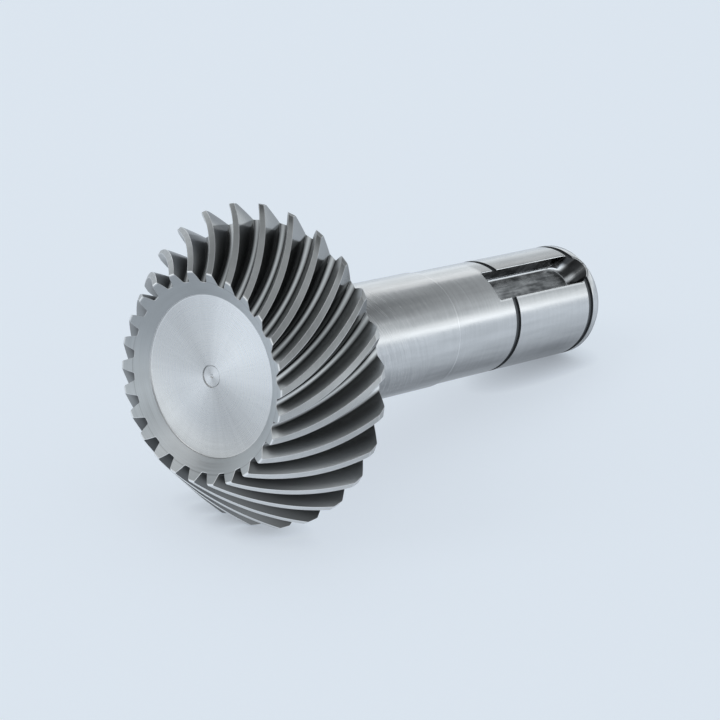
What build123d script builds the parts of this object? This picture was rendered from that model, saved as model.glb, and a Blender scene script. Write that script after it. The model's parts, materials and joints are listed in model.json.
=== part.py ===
from build123d import *
import os
from math import asin, atan2, cos, degrees, hypot, radians, sin, tan

# Pinion shaft: a spiral bevel pinion and its shaft, turned, cut and ground from
# one bar of case-hardening steel. Lengths are millimetres, angles are degrees.
# It is drawn along its own axis first, with +Z from the small end of the teeth
# (the toe) to the shaft end, and axial places counted from the toe tips. Angles
# about the axis are clockwise as seen from the toe, from the side that lies up.

# Gear blank
TOE_TIP_RADIUS = 17.1
GEAR_RADIUS = 26.55
FACE_LENGTH = 14.2
CROWN_LENGTH = 1.17
CROWN_TAPER = 7.0
TOE_FACE_SLOPE = 31.2
TOE_RING_SLOPE = 32.8
TOE_CREASE_DEPTH = 1.8
HEEL_BACK_SLOPE = 35.0
BACK_RIM_WIDTH = 2.4
TIP_EDGE_BREAK = 0.2

# Toe face inside the ring, with the mark of the plugged turning centre
DISC_RADIUS = 13.2
DISC_STEP = 0.3
DISC_CORNER = 0.25
MARK_RADIUS = 1.87
MARK_DEPTH = 0.15

# Teeth
TOOTH_COUNT = 26
SPIRAL_TURN = -33.45
TOE_TOOTH_DEPTH = 2.0
HEEL_TOOTH_DEPTH = 4.44
FLANK_ANGLE = 25.0
FLANK_BOW = 5.5
TOE_ROOT_WIDTH = 1.2
HEEL_ROOT_WIDTH = 1.55
TOOTH_CROWNING = 0.12
CUTTER_CLEAR = 0.4
CUTTER_OVERRUN = 0.12
CUTTER_STATIONS = 5

# Shaft
SHOULDER_RADIUS = 14.0
SHOULDER_HEIGHT = 1.2
SHOULDER_CORNER = 1.0
BEARING_RADIUS = 10.0
BEARING_END = 54.1
HUB_RADIUS = 9.8
SHAFT_LENGTH = 95.5
END_CHAMFER_LENGTH = 1.4
END_CHAMFER_DEPTH = 0.8
CENTRE_HOLE_RADIUS = 1.25
CENTRE_HOLE_DEPTH = 6.0
CENTRE_CONE_RADIUS = 2.65
CENTRE_CONE_ANGLE = 60.0

# Retaining-ring grooves, one at each end of the hub seat
RING_GROOVE_RADIUS = 9.5
RING_GROOVE_WIDTH = 1.3
INNER_GROOVE_START = 70.1
OUTER_GROOVE_START = 91.5

# Keyway: square at the gear end, round at the shaft end, where its wall leans out
KEYWAY_ANGLE = 35.5
KEYWAY_WIDTH = 6.0
KEYWAY_DEPTH = 3.5
KEYWAY_START = 66.8
KEYWAY_FLOOR_END = 91.5
KEYWAY_END_LEAN = 35.5
KEYWAY_CORNER = 1.0


def blend(start, end, share):
    return start + (end - start) * share


# Corner points of the tooth in the axial plane, each a radius and an axial place
toe_tip = (TOE_TIP_RADIUS, 0.0)
toe_root = (
    TOE_TIP_RADIUS - TOE_TOOTH_DEPTH * cos(radians(TOE_FACE_SLOPE)),
    TOE_TOOTH_DEPTH * sin(radians(TOE_FACE_SLOPE)),
)
crown_start = (GEAR_RADIUS, FACE_LENGTH - CROWN_LENGTH)
heel_tip = (GEAR_RADIUS - CROWN_LENGTH * tan(radians(CROWN_TAPER)), FACE_LENGTH)


def heel_full_tip():
    """Where the face cone would meet the heel's back cone if there were no crown."""
    slope = (crown_start[0] - toe_tip[0]) / (crown_start[1] - toe_tip[1])
    fall = tan(radians(HEEL_BACK_SLOPE))
    face_radius = toe_tip[0] + (heel_tip[1] - toe_tip[1]) * slope
    radius = (face_radius + heel_tip[0] * fall * slope) / (1 + fall * slope)
    return radius, heel_tip[1] + (heel_tip[0] - radius) * fall


full_tip = heel_full_tip()
heel_root = (
    full_tip[0] - HEEL_TOOTH_DEPTH * cos(radians(HEEL_BACK_SLOPE)),
    full_tip[1] + HEEL_TOOTH_DEPTH * sin(radians(HEEL_BACK_SLOPE)),
)
back_rim_radius = heel_root[0] - BACK_RIM_WIDTH
LOW_FLANK = radians(FLANK_ANGLE - FLANK_BOW)
HIGH_FLANK = radians(FLANK_ANGLE + FLANK_BOW)


def half_space_at_heel(height):
    """Half the width of a tooth space at the heel, at a height above its root."""
    bow_radius = HEEL_TOOTH_DEPTH / (sin(HIGH_FLANK) - sin(LOW_FLANK))
    slope = asin(height / bow_radius + sin(LOW_FLANK))
    return HEEL_ROOT_WIDTH / 2 + bow_radius * (cos(LOW_FLANK) - cos(slope))


def space_section(share):
    """Cross-section of one tooth space, from the toe at 0 to the heel at 1."""
    radius = blend(toe_root[0], heel_root[0], share)
    place = blend(toe_root[1], heel_root[1], share)
    lean = radians(blend(TOE_FACE_SLOPE, HEEL_BACK_SLOPE, share))
    turn = radians(SPIRAL_TURN * share)
    plane = Plane(
        origin=(radius * cos(turn), radius * sin(turn), place),
        x_dir=(-sin(turn), cos(turn), 0),
        z_dir=(-sin(lean) * cos(turn), -sin(lean) * sin(turn), -cos(lean)),
    )
    crowning = TOOTH_CROWNING * 4 * share * (1 - share)
    foot = blend(TOE_ROOT_WIDTH, HEEL_ROOT_WIDTH, share) / 2 - crowning
    depth = blend(TOE_TOOTH_DEPTH, HEEL_TOOTH_DEPTH, share)
    tip = (foot + depth * tan(radians(FLANK_ANGLE)), depth)
    top = (tip[0] + CUTTER_CLEAR * tan(HIGH_FLANK), depth + CUTTER_CLEAR)
    half = [
        TangentArc((foot, 0), tip, tangent=(sin(LOW_FLANK), cos(LOW_FLANK))),
        Line(tip, top),
    ]
    other_half = [edge.mirror(Plane.YZ) for edge in half]
    ends = [Line((-foot, 0), (foot, 0)), Line((-top[0], top[1]), top)]
    return plane * make_face(half + other_half + ends)


def tooth_space():
    """The cutter that takes out one tooth space, a little longer than the face."""
    span = 1 + 2 * CUTTER_OVERRUN
    shares = [-CUTTER_OVERRUN + span * n / (CUTTER_STATIONS - 1) for n in range(CUTTER_STATIONS)]
    return loft([space_section(share) for share in shares])


def broken_corner(corner, before, after):
    """The two ends of the small chamfer that breaks a corner's edge."""
    ends = []
    for neighbour in (before, after):
        span = hypot(neighbour[0] - corner[0], neighbour[1] - corner[1])
        share = TIP_EDGE_BREAK / span
        ends.append((blend(corner[0], neighbour[0], share), blend(corner[1], neighbour[1], share)))
    return ends


def shaft_blank():
    """The turned body, from half its lengthwise section."""
    crease_radius = TOE_TIP_RADIUS - TOE_CREASE_DEPTH * cos(radians(TOE_FACE_SLOPE))
    crease = (crease_radius, TOE_CREASE_DEPTH * sin(radians(TOE_FACE_SLOPE)))
    rim = (DISC_RADIUS, crease[1] + (crease_radius - DISC_RADIUS) * tan(radians(TOE_RING_SLOPE)))
    disc = rim[1] + DISC_STEP
    back_face = heel_root[1] + BACK_RIM_WIDTH * tan(radians(HEEL_BACK_SLOPE))
    back_rim = (back_rim_radius, back_face)
    toe_break = broken_corner(toe_tip, crease, crown_start)
    heel_break = broken_corner(heel_tip, crown_start, back_rim)
    shoulder = back_face + SHOULDER_HEIGHT
    chamfer_start = SHAFT_LENGTH - END_CHAMFER_LENGTH
    cone_depth = (CENTRE_CONE_RADIUS - CENTRE_HOLE_RADIUS) / tan(radians(CENTRE_CONE_ANGLE / 2))
    corners = [
        (0, disc + MARK_DEPTH),
        (MARK_RADIUS, disc + MARK_DEPTH),
        (MARK_RADIUS, disc),
        (DISC_RADIUS - DISC_CORNER, disc),
        (DISC_RADIUS, disc - DISC_CORNER),
        rim,
        crease,
        *toe_break,
        crown_start,
        *heel_break,
        back_rim,
        (SHOULDER_RADIUS, back_face),
        (SHOULDER_RADIUS, shoulder),
        (BEARING_RADIUS + SHOULDER_CORNER, shoulder),
        (BEARING_RADIUS, shoulder + SHOULDER_CORNER),
        (BEARING_RADIUS, BEARING_END),
        (HUB_RADIUS, BEARING_END),
    ]
    for start in (INNER_GROOVE_START, OUTER_GROOVE_START):
        corners += [
            (HUB_RADIUS, start),
            (RING_GROOVE_RADIUS, start),
            (RING_GROOVE_RADIUS, start + RING_GROOVE_WIDTH),
            (HUB_RADIUS, start + RING_GROOVE_WIDTH),
        ]
    corners += [
        (HUB_RADIUS, chamfer_start),
        (HUB_RADIUS - END_CHAMFER_DEPTH, SHAFT_LENGTH),
        (CENTRE_CONE_RADIUS, SHAFT_LENGTH),
        (CENTRE_HOLE_RADIUS, SHAFT_LENGTH - cone_depth),
        (CENTRE_HOLE_RADIUS, SHAFT_LENGTH - CENTRE_HOLE_DEPTH),
        (0, SHAFT_LENGTH - CENTRE_HOLE_DEPTH),
    ]
    outline = Polyline(*corners, close=True)
    half_section = Plane.XZ * make_face(outline)
    return revolve(half_section, Axis.Z)


def keyway_outline(height):
    """The keyway's outline at one height above the shaft's axis."""
    floor = HUB_RADIUS - KEYWAY_DEPTH
    half_width = KEYWAY_WIDTH / 2
    round_centre = KEYWAY_FLOOR_END - half_width + (height - floor) * tan(radians(KEYWAY_END_LEAN))
    plane = Plane(origin=(height, 0, 0), x_dir=(0, 0, 1), z_dir=(1, 0, 0))
    box_length = round_centre - KEYWAY_START
    box = Pos(KEYWAY_START + box_length / 2, 0) * Rectangle(box_length, KEYWAY_WIDTH)
    gear_end = box.vertices().group_by(Axis.X)[0]
    outline = fillet(gear_end, KEYWAY_CORNER) + Pos(round_centre, 0) * Circle(half_width)
    return plane * outline


def keyway():
    floor = HUB_RADIUS - KEYWAY_DEPTH
    slot = loft([keyway_outline(floor), keyway_outline(BEARING_RADIUS + 1)], ruled=True)
    return Rot(0, 0, KEYWAY_ANGLE) * slot


def resting_tilt():
    """How far the axis dips when the gear's heel and the shaft's end both touch down."""
    heel_height = (heel_tip[0] - heel_root[0]) / cos(radians(HEEL_BACK_SLOPE))
    low_corner_angle = half_space_at_heel(heel_height) / heel_tip[0]
    drop = heel_tip[0] * cos(low_corner_angle) - HUB_RADIUS
    return degrees(atan2(drop, SHAFT_LENGTH - END_CHAMFER_LENGTH - FACE_LENGTH))


# A gap between two teeth faces straight down at the heel, so the part lies on two
# neighbouring heel tips and on the edge of the end chamfer, as a gear does.
pitch_angle = 360 / TOOTH_COUNT
first_space = 180 - SPIRAL_TURN
cutter = tooth_space()
spaces = [Rot(0, 0, first_space + n * pitch_angle) * cutter for n in range(TOOTH_COUNT)]
pinion = shaft_blank() - spaces - keyway()

# Laid down along +X, with the axis dipping to the shaft end, and the origin under
# the middle of its bounding box, on the surface that it lies on.
tilt = radians(resting_tilt())
lying = Plane(origin=(0, 0, 0), x_dir=(sin(tilt), 0, cos(tilt)), z_dir=(cos(tilt), 0, -sin(tilt)))
laid = lying * pinion
box = laid.bounding_box()
pinion_shaft = Pos(-box.center().X, -box.center().Y, -box.min.Z) * laid

os.makedirs("parts", exist_ok=True)
export_step(pinion_shaft, "parts/pinion_shaft.step")
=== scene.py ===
import json
from math import asin, atan2, cos, hypot, pi, radians, sin, sqrt, tan

import bmesh
import bpy
from mathutils import Matrix, Vector


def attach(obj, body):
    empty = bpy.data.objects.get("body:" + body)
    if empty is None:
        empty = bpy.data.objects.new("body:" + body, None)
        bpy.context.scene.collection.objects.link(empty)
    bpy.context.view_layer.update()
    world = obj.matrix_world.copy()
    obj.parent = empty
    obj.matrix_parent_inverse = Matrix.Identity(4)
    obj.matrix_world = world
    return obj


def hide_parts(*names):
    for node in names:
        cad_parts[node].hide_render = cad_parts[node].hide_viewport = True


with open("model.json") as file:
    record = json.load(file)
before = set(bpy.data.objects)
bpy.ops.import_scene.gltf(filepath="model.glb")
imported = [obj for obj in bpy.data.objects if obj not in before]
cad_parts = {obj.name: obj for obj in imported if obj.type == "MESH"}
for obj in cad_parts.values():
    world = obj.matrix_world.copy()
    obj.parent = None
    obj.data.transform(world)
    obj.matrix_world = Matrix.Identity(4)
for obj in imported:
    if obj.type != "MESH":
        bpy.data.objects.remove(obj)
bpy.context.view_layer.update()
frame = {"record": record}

# The pinion's blank: one bar of case-hardening steel, turned to this outline before
# the teeth are cut. Lengths are millimetres along the axis from the toe tips, and
# radii from it; the bar is drawn upright on +Z first and laid down at the end.
MILLIMETRE = 0.001
TOE_TIP_RADIUS = 17.1
GEAR_RADIUS = 26.55
FACE_LENGTH = 14.2
CROWN_LENGTH = 1.17
CROWN_TAPER = radians(7.0)
TOE_FACE_SLOPE = radians(31.2)
HEEL_BACK_SLOPE = radians(35.0)
TOE_TOOTH_DEPTH = 2.0
HEEL_TOOTH_DEPTH = 4.44
TOE_RING_OUTER = 15.2
BACK_RIM_WIDTH = 2.4
TOE_EDGE_BREAK = 0.2
HEEL_EDGE_BREAK = 0.1
FACE_STEPS = 34
CROWN_STEPS = 3


def blend(start, end, share):
    return start + (end - start) * share


def between(start, end, share):
    """The point a share of the way from one outline point to another."""
    return blend(start[0], end[0], share), blend(start[1], end[1], share)


def edge_break(corner, neighbour, size):
    """Where the small chamfer on a corner meets the line to a neighbour."""
    distance = hypot(neighbour[0] - corner[0], neighbour[1] - corner[1])
    return between(corner, neighbour, size / distance)


toe_tip = (TOE_TIP_RADIUS, 0.0)
toe_root = (
    TOE_TIP_RADIUS - TOE_TOOTH_DEPTH * cos(TOE_FACE_SLOPE),
    TOE_TOOTH_DEPTH * sin(TOE_FACE_SLOPE),
)
crown_start = (GEAR_RADIUS, FACE_LENGTH - CROWN_LENGTH)
heel_tip = (GEAR_RADIUS - CROWN_LENGTH * tan(CROWN_TAPER), FACE_LENGTH)
face_rise = (crown_start[0] - toe_tip[0]) / crown_start[1]
back_fall = tan(HEEL_BACK_SLOPE)


def toe_place(radius):
    """Axial place of the toe's cone at a radius."""
    return (TOE_TIP_RADIUS - radius) * tan(TOE_FACE_SLOPE)


def heel_place(radius):
    """Axial place of the heel's back cone at a radius."""
    return heel_tip[1] + (heel_tip[0] - radius) * back_fall


# the heel's tooth depth counts from where the face and back cones would meet uncrowned
full_radius = (toe_tip[0] + heel_tip[1] * face_rise + heel_tip[0] * back_fall * face_rise) / (
    1 + back_fall * face_rise
)
heel_root = (
    full_radius - HEEL_TOOTH_DEPTH * cos(HEEL_BACK_SLOPE),
    heel_place(full_radius) + HEEL_TOOTH_DEPTH * sin(HEEL_BACK_SLOPE),
)
back_rim = (heel_root[0] - BACK_RIM_WIDTH, heel_root[1] + BACK_RIM_WIDTH * back_fall)

# the face, from the toe's broken edge to the heel's, in steps that the teeth can follow
outline = [
    edge_break(toe_tip, toe_root, TOE_EDGE_BREAK),
    edge_break(toe_tip, crown_start, TOE_EDGE_BREAK),
]
outline += [between(outline[1], crown_start, n / FACE_STEPS) for n in range(1, FACE_STEPS + 1)]
last_of_crown = edge_break(heel_tip, crown_start, HEEL_EDGE_BREAK)
outline += [between(crown_start, last_of_crown, n / CROWN_STEPS) for n in range(1, CROWN_STEPS + 1)]
outline.append(edge_break(heel_tip, heel_root, HEEL_EDGE_BREAK))

# The finished part lies on the heel's edge and the shaft's end, so its axis dips
# towards the shaft. The record's mount on the teeth says where that axis runs.
teeth_mount = next(mount for mount in frame["record"]["mounts"] if mount["name"] == "pinion_teeth")
shaft_axis = -Vector(teeth_mount["axis"]).normalized()
upward = Vector((-shaft_axis.z, 0, shaft_axis.x))
toe_centre = Vector(teeth_mount["pos_m"]) - shaft_axis * FACE_LENGTH / 2 * MILLIMETRE
lie = Matrix((upward, shaft_axis.cross(upward), shaft_axis)).transposed().to_4x4()
lie.translation = toe_centre

# The finishes are all bare steel, and differ by the tool that cut the surface; many also
# have light and shade painted into their colour by place. Each face carries the number of
# its finish in this list, and each finish reads its place along the shaft's axis, and its
# radius and angle round it from the top.
finishes = []


class Wire:
    """One output of a node. Arithmetic on it adds the nodes that work it out."""

    def __init__(self, socket):
        self.socket = socket

    @staticmethod
    def node(tree, kind, settings=(), inputs=(), output=0):
        """Add a node, set its settings, then fill its sockets with values, a link or links."""
        made = tree.nodes.new(kind)
        for name, value in dict(settings).items():
            setattr(made, name, value)
        for name, value in dict(inputs).items():
            links = value if isinstance(value, list) else [value]
            if isinstance(links[0], Wire):
                for wire in links:
                    tree.links.new(wire.socket, made.inputs[name])
            else:
                made.inputs[name].default_value = value
        return None if output is None else Wire(made.outputs[output])

    def beside(self):
        """All the outputs of the node that this one comes from."""
        return [Wire(socket) for socket in self.socket.node.outputs]

    def maths(self, operation, *numbers):
        settings = {"operation": operation}
        return Wire.node(self.socket.id_data, "ShaderNodeMath", settings, dict(enumerate(numbers)))

    def __add__(self, other):
        return self.maths("ADD", self, other)

    def __radd__(self, other):
        return self.maths("ADD", other, self)

    def __sub__(self, other):
        return self.maths("SUBTRACT", self, other)

    def __rsub__(self, other):
        return self.maths("SUBTRACT", other, self)

    def __mul__(self, other):
        return self.maths("MULTIPLY", self, other)

    def __rmul__(self, other):
        return self.maths("MULTIPLY", other, self)

    def __truediv__(self, other):
        return self.maths("DIVIDE", self, other)

    def __rtruediv__(self, other):
        return self.maths("DIVIDE", other, self)

    def __pow__(self, other):
        return self.maths("POWER", self, other)

    def __neg__(self):
        return 0 - self

    def __abs__(self):
        return self.maths("ABSOLUTE", self)

    def sine(self):
        return self.maths("SINE", self)

    def cosine(self):
        return self.maths("COSINE", self)

    def held(self, low, high):
        """The value kept between two limits."""
        return self.maths("MINIMUM", self.maths("MAXIMUM", self, low), high)

    def rise(self, start, end):
        """0 before start, 1 after end, and smooth between them."""
        inputs = {"Value": self, "From Min": start, "From Max": end}
        settings = {"interpolation_type": "SMOOTHSTEP"}
        return Wire.node(self.socket.id_data, "ShaderNodeMapRange", settings, inputs)

    def band(self, start, full, last, end):
        """1 from full to last, 0 before start and after end, and smooth between them."""
        return self.rise(start, full) * (1 - self.rise(last, end))

    def near(self, place, core, edge):
        """1 within the core's reach of a place, and 0 beyond the edge's."""
        return 1 - abs(self - place).rise(core, edge)

    def facing(self, towards, start, end):
        """For an angle: 0 to 1 as the cosine of its turn from a direction goes from start to end."""
        return (self - towards).cosine().rise(start, end)

    def fan(self, towards):
        """For an angle: 1 along a direction and its opposite, -1 square to them."""
        return ((self - towards) * 2).cosine()

    def swing(self, amount):
        """For noise: the amount, shared out evenly below and above nothing."""
        return (self - 0.5) * amount


NOISE_ROUGHNESS = 0.6


def noise(tree, places, grain, detail=2.0):
    """Noise between 0 and 1 on up to three places, with this much grain in a unit of each."""
    scaled = dict(zip("XYZ", (place * count for place, count in zip(places, grain))))
    return Wire.node(
        tree,
        "ShaderNodeTexNoise",
        {"noise_dimensions": "3D"},
        {
            "Vector": Wire.node(tree, "ShaderNodeCombineXYZ", {}, scaled),
            "Scale": 1.0,
            "Detail": detail,
            "Roughness": NOISE_ROUGHNESS,
        },
    )


def steel(name, dark, pale, smooth, rough, marks, grazing_tint=1.0):
    """Add a finish and give its number. Marks gives the tint, roughness, bump and bump depth."""
    material = bpy.data.materials.new(name)
    material.use_nodes = True
    tree = material.node_tree
    tree.nodes.clear()
    along_shaft = Wire.node(
        tree,
        "ShaderNodeMapping",
        {"vector_type": "TEXTURE"},
        {
            "Vector": Wire.node(tree, "ShaderNodeTexCoord", output="Object"),
            "Location": toe_centre,
            "Rotation": lie.to_euler(),
        },
    )
    apart = Wire.node(tree, "ShaderNodeSeparateXYZ", {}, {0: along_shaft})
    across, over, along = (part / MILLIMETRE for part in apart.beside())
    radius = (across * across + over * over) ** 0.5
    angle = across.maths("ARCTAN2", over, across)
    tint, roughness, height, depth = marks(tree, radius, angle, along)
    # a Mix node takes its two colours in sockets 6 and 7, and gives the mixed one in output 2
    colour = Wire.node(
        tree, "ShaderNodeMix", {"data_type": "RGBA"}, {0: tint, 6: (*dark, 1), 7: (*pale, 1)}, output=2
    )
    bump = {"Strength": 1.0, "Distance": depth * MILLIMETRE, "Height": height}
    look = {
        "Base Color": colour,
        "Metallic": 1.0,
        "Roughness": roughness * (rough - smooth) + smooth,
        "Normal": Wire.node(tree, "ShaderNodeBump", {}, bump),
        "Specular Tint": (grazing_tint, grazing_tint, grazing_tint, 1),
    }
    surface = Wire.node(tree, "ShaderNodeBsdfPrincipled", {}, look)
    Wire.node(tree, "ShaderNodeOutputMaterial", {}, {"Surface": surface}, output=None)
    finishes.append(material)
    return len(finishes) - 1


# What the turning tool leaves on the blank: dull lands, which the tooth spaces part, a
# ring on the toe, a plain back, and the toe's edge, filed bright.
TOP = 0.0
UNDERSIDE = pi
NOISE_MIDDLE = (0.3, 0.7)
LAND_RING_GRAIN = (6.0, 0.6)
LAND_CLOUD_GRAIN = (0.4, 0.4)
LAND_TINT = 0.36
LAND_RINGS = 0.2
LAND_CLOUDS = 0.2
LAND_DEPTH = 0.006
# painted light and shade on the lands: paler below and on one side, darker heel tips on top
LAND_UNDERSIDE_LIGHT = 0.45
LAND_UNDERSIDE_LIGHT_SPREAD = (0.0, 0.9)
HEEL_TIP_SHADE = 0.45
DARK_TIP_ALONG = (10.8, 13.2)
DARK_TIP_ANGLE = radians(20.0)
DARK_TIP_SPREAD = (0.76, 0.94)
LAND_SIDE_SHEEN = 0.16
PALE_SIDE_ALONG = (4.0, 9.0)
PALE_SIDE_ANGLE = radians(58.0)
PALE_SIDE_SPREAD = (0.80, 0.98)


def land_marks(tree, radius, angle, along):
    """Turned rings, with painted light below and on one side, and painted shade on the heel tips on top."""
    ring = noise(tree, (along, angle), LAND_RING_GRAIN)
    cloud = noise(tree, (angle * radius, along), LAND_CLOUD_GRAIN)
    heel_tip_shade = along.rise(*DARK_TIP_ALONG) * angle.facing(DARK_TIP_ANGLE, *DARK_TIP_SPREAD)
    land_side_sheen = along.rise(*PALE_SIDE_ALONG) * angle.facing(PALE_SIDE_ANGLE, *PALE_SIDE_SPREAD)
    tint = LAND_TINT + cloud.swing(LAND_CLOUDS) + ring.swing(LAND_RINGS)
    tint = tint + angle.facing(UNDERSIDE, *LAND_UNDERSIDE_LIGHT_SPREAD) * LAND_UNDERSIDE_LIGHT
    tint = tint - heel_tip_shade * HEEL_TIP_SHADE + land_side_sheen * LAND_SIDE_SHEEN
    return tint.held(0, 1), ring.rise(*NOISE_MIDDLE), ring, LAND_DEPTH


LAND = steel("land_steel", (0.20, 0.202, 0.20), (0.85, 0.855, 0.85), 0.36, 0.50, land_marks)
FILED = steel("filed_steel", (0.84, 0.84, 0.84), (0.94, 0.94, 0.94), 0.26, 0.36, land_marks)

RING_GRAIN = (5.5, 0.8)
RING_TINT = 0.26
RING_TOOL_MARKS = 0.40
RING_DEPTH = 0.008
# painted sheen on the ring, slow round it and in a fan, and a painted highlight low on one side
RING_SLOW_SHEEN = 0.16
RING_SLOW_ANGLE = radians(120.0)
RING_FAN_SHEEN = 0.19
RING_FAN_ANGLE = radians(50.0)
RING_GLINT = 0.32
RING_GLINT_ANGLE = radians(228.0)
RING_GLINT_SPREAD = (0.88, 1.0)
# a fine line of painted shade where the toe face creases
RING_CREASE_SHADE = 0.25
RING_LINE_RADIUS = TOE_RING_OUTER + 0.35
RING_LINE_REACH = (0.02, 0.12)


def ring_marks(tree, radius, angle, along):
    """Rings of the tool, a fine line of painted shade at a crease, and a painted sheen that changes slowly
    round them and in a fan, with a painted highlight low on one side.
    """
    ring = noise(tree, (radius, angle), RING_GRAIN)
    slow = (angle - RING_SLOW_ANGLE).cosine()
    glint = angle.facing(RING_GLINT_ANGLE, *RING_GLINT_SPREAD)
    line = radius.near(RING_LINE_RADIUS, *RING_LINE_REACH)
    tint = RING_TINT + slow * RING_SLOW_SHEEN + angle.fan(RING_FAN_ANGLE) * RING_FAN_SHEEN
    tint = tint + glint * RING_GLINT + ring.swing(RING_TOOL_MARKS) - line * RING_CREASE_SHADE
    return tint.held(0, 1), ring.rise(*NOISE_MIDDLE), ring, RING_DEPTH


RING = steel("ring_steel", (0.38, 0.39, 0.395), (0.83, 0.86, 0.88), 0.36, 0.48, ring_marks)

TURNED_GRAIN = (4.5, 0.8)
TURNED_SLANT = 0.4
TURNED_CLOUD_GRAIN = (0.3, 1.5, 0.3)
TURNED_CONTRAST = (0.25, 0.75)
TURNED_DEPTH = 0.012


def turned_marks(tree, radius, angle, along):
    """Rings that the turning tool leaves, fine and a little uneven."""
    ring = noise(tree, (radius + along * TURNED_SLANT, angle), TURNED_GRAIN)
    cloud = noise(tree, (radius, angle, along), TURNED_CLOUD_GRAIN)
    tint = blend(cloud, ring, 0.5).rise(*TURNED_CONTRAST)
    return tint, ring.rise(*NOISE_MIDDLE), ring, TURNED_DEPTH


BACK = steel("back_steel", (0.42, 0.425, 0.43), (0.53, 0.535, 0.54), 0.32, 0.45, turned_marks)

# One tooth space with the land beside it, 1 of 26: the shape that a face-mill leaves
# in the blank. Its walls are hollow from root to tip, wind 33 degrees round the axis,
# and are a little closer half way along, which is what crowns the teeth.
TOOTH_COUNT = 26
SPIRAL_TURN = radians(-33.45)
FLANK_ANGLE = radians(25.0)
FLANK_BOW = radians(5.5)
TOE_ROOT_WIDTH = 1.2
HEEL_ROOT_WIDTH = 1.55
TOOTH_CROWNING = 0.12
ROOT_FILLET = 0.3
FLANK_STEPS = 7
FILLET_STEPS = 4
LAND_STEPS = 3
TINY_STEP = 1e-5
SOLVING_ROUNDS = 30
SEARCH_REACH = 0.12
HALVINGS = 40

PITCH_TURN = 2 * pi / TOOTH_COUNT
FIRST_SPACE = pi - SPIRAL_TURN
LOW_FLANK = FLANK_ANGLE - FLANK_BOW
HIGH_FLANK = FLANK_ANGLE + FLANK_BOW
FILLET_REACH = ROOT_FILLET * tan(pi / 4 - LOW_FLANK / 2)


def wall_width(share, height):
    """Half the space's width at a height above its root, from the toe at 0 to the heel at 1."""
    foot = blend(TOE_ROOT_WIDTH, HEEL_ROOT_WIDTH, share) / 2 - TOOTH_CROWNING * 4 * share * (1 - share)
    bow_radius = blend(TOE_TOOTH_DEPTH, HEEL_TOOTH_DEPTH, share) / (sin(HIGH_FLANK) - sin(LOW_FLANK))
    slope = asin(height / bow_radius + sin(LOW_FLANK))
    return foot + bow_radius * (cos(LOW_FLANK) - cos(slope))


def wall_place(share, width, height):
    """Radius, angle from mid-space and axial place of a point on the wall."""
    lean = blend(TOE_FACE_SLOPE, HEEL_BACK_SLOPE, share)
    radius = blend(toe_root[0], heel_root[0], share) + height * cos(lean)
    place = blend(toe_root[1], heel_root[1], share) - height * sin(lean)
    return hypot(radius, width), atan2(width, radius), place


def wall_steps():
    """Places up the wall: each gives a half width and a height from a share and a top height."""
    steps = [lambda share, top: (0.0, 0.0)]
    for n in range(FILLET_STEPS + 1):
        angle = (pi / 2 - LOW_FLANK) * n / FILLET_STEPS
        steps.append(
            lambda share, top, angle=angle: (
                wall_width(share, 0) - FILLET_REACH + ROOT_FILLET * sin(angle),
                ROOT_FILLET * (1 - cos(angle)),
            )
        )
    foot_height = FILLET_REACH * cos(LOW_FLANK)
    for n in range(1, FLANK_STEPS + 1):
        steps.append(
            lambda share, top, rise=n / FLANK_STEPS: (
                wall_width(share, blend(foot_height, top, rise)),
                blend(foot_height, top, rise),
            )
        )
    return steps


def edge_of_land(radius, place):
    """The share and height at which the wall comes through the blank at an outline point."""
    share = place / FACE_LENGTH
    height = TOE_TOOTH_DEPTH
    for _ in range(SOLVING_ROUNDS):
        here = wall_place(share, wall_width(share, height), height)
        further = share + TINY_STEP
        along = wall_place(further, wall_width(further, height), height)
        higher = height + TINY_STEP
        above = wall_place(share, wall_width(share, higher), higher)
        radius_along, place_along = (along[0] - here[0]) / TINY_STEP, (along[2] - here[2]) / TINY_STEP
        radius_above, place_above = (above[0] - here[0]) / TINY_STEP, (above[2] - here[2]) / TINY_STEP
        miss_radius, miss_place = radius - here[0], place - here[2]
        determinant = radius_along * place_above - radius_above * place_along
        share += (place_above * miss_radius - radius_above * miss_place) / determinant
        height += (radius_along * miss_place - place_along * miss_radius) / determinant
    return share, height


def trimmed_share(step, top, guess, cone):
    """The share at which a step of the wall runs out through the toe's or the heel's cone."""
    low, high = guess - SEARCH_REACH, guess + SEARCH_REACH
    for _ in range(HALVINGS):
        middle = (low + high) / 2
        radius, _, place = wall_place(middle, *step(middle, top))
        if place < cone(radius):
            low = middle
        else:
            high = middle
    return (low + high) / 2


land_edges = [edge_of_land(*point) for point in outline]
steps = wall_steps()
toe_shares = [trimmed_share(step, land_edges[0][1], 0.0, toe_place) for step in steps]
heel_shares = [trimmed_share(step, land_edges[-1][1], 1.0, heel_place) for step in steps]
rows = []
for (radius, place), (share, height) in zip(outline, land_edges):
    along = (share - land_edges[0][0]) / (land_edges[-1][0] - land_edges[0][0])
    wall = []
    for step, toe_share, heel_share in zip(steps, toe_shares, heel_shares):
        here = blend(toe_share, heel_share, along)
        reach, turn, axial = wall_place(here, *step(here, height))
        wall.append((reach, SPIRAL_TURN * here, turn, axial))
    row = [(reach, spin - turn, axial) for reach, spin, turn, axial in reversed(wall)]
    row += [(reach, spin + turn, axial) for reach, spin, turn, axial in wall[1:]]
    next_edge = row[0][1] + PITCH_TURN
    row += [(radius, blend(row[-1][1], next_edge, n / LAND_STEPS), place) for n in range(1, LAND_STEPS + 1)]
    rows.append(row)
toe_angles = [angle for _, angle, _ in rows[0]]
heel_angles = [angle for _, angle, _ in rows[-1]]
rows.insert(0, [(TOE_RING_OUTER, angle, toe_place(TOE_RING_OUTER)) for angle in toe_angles])
rows.append([(back_rim[0], angle, back_rim[1]) for angle in heel_angles])
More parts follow.
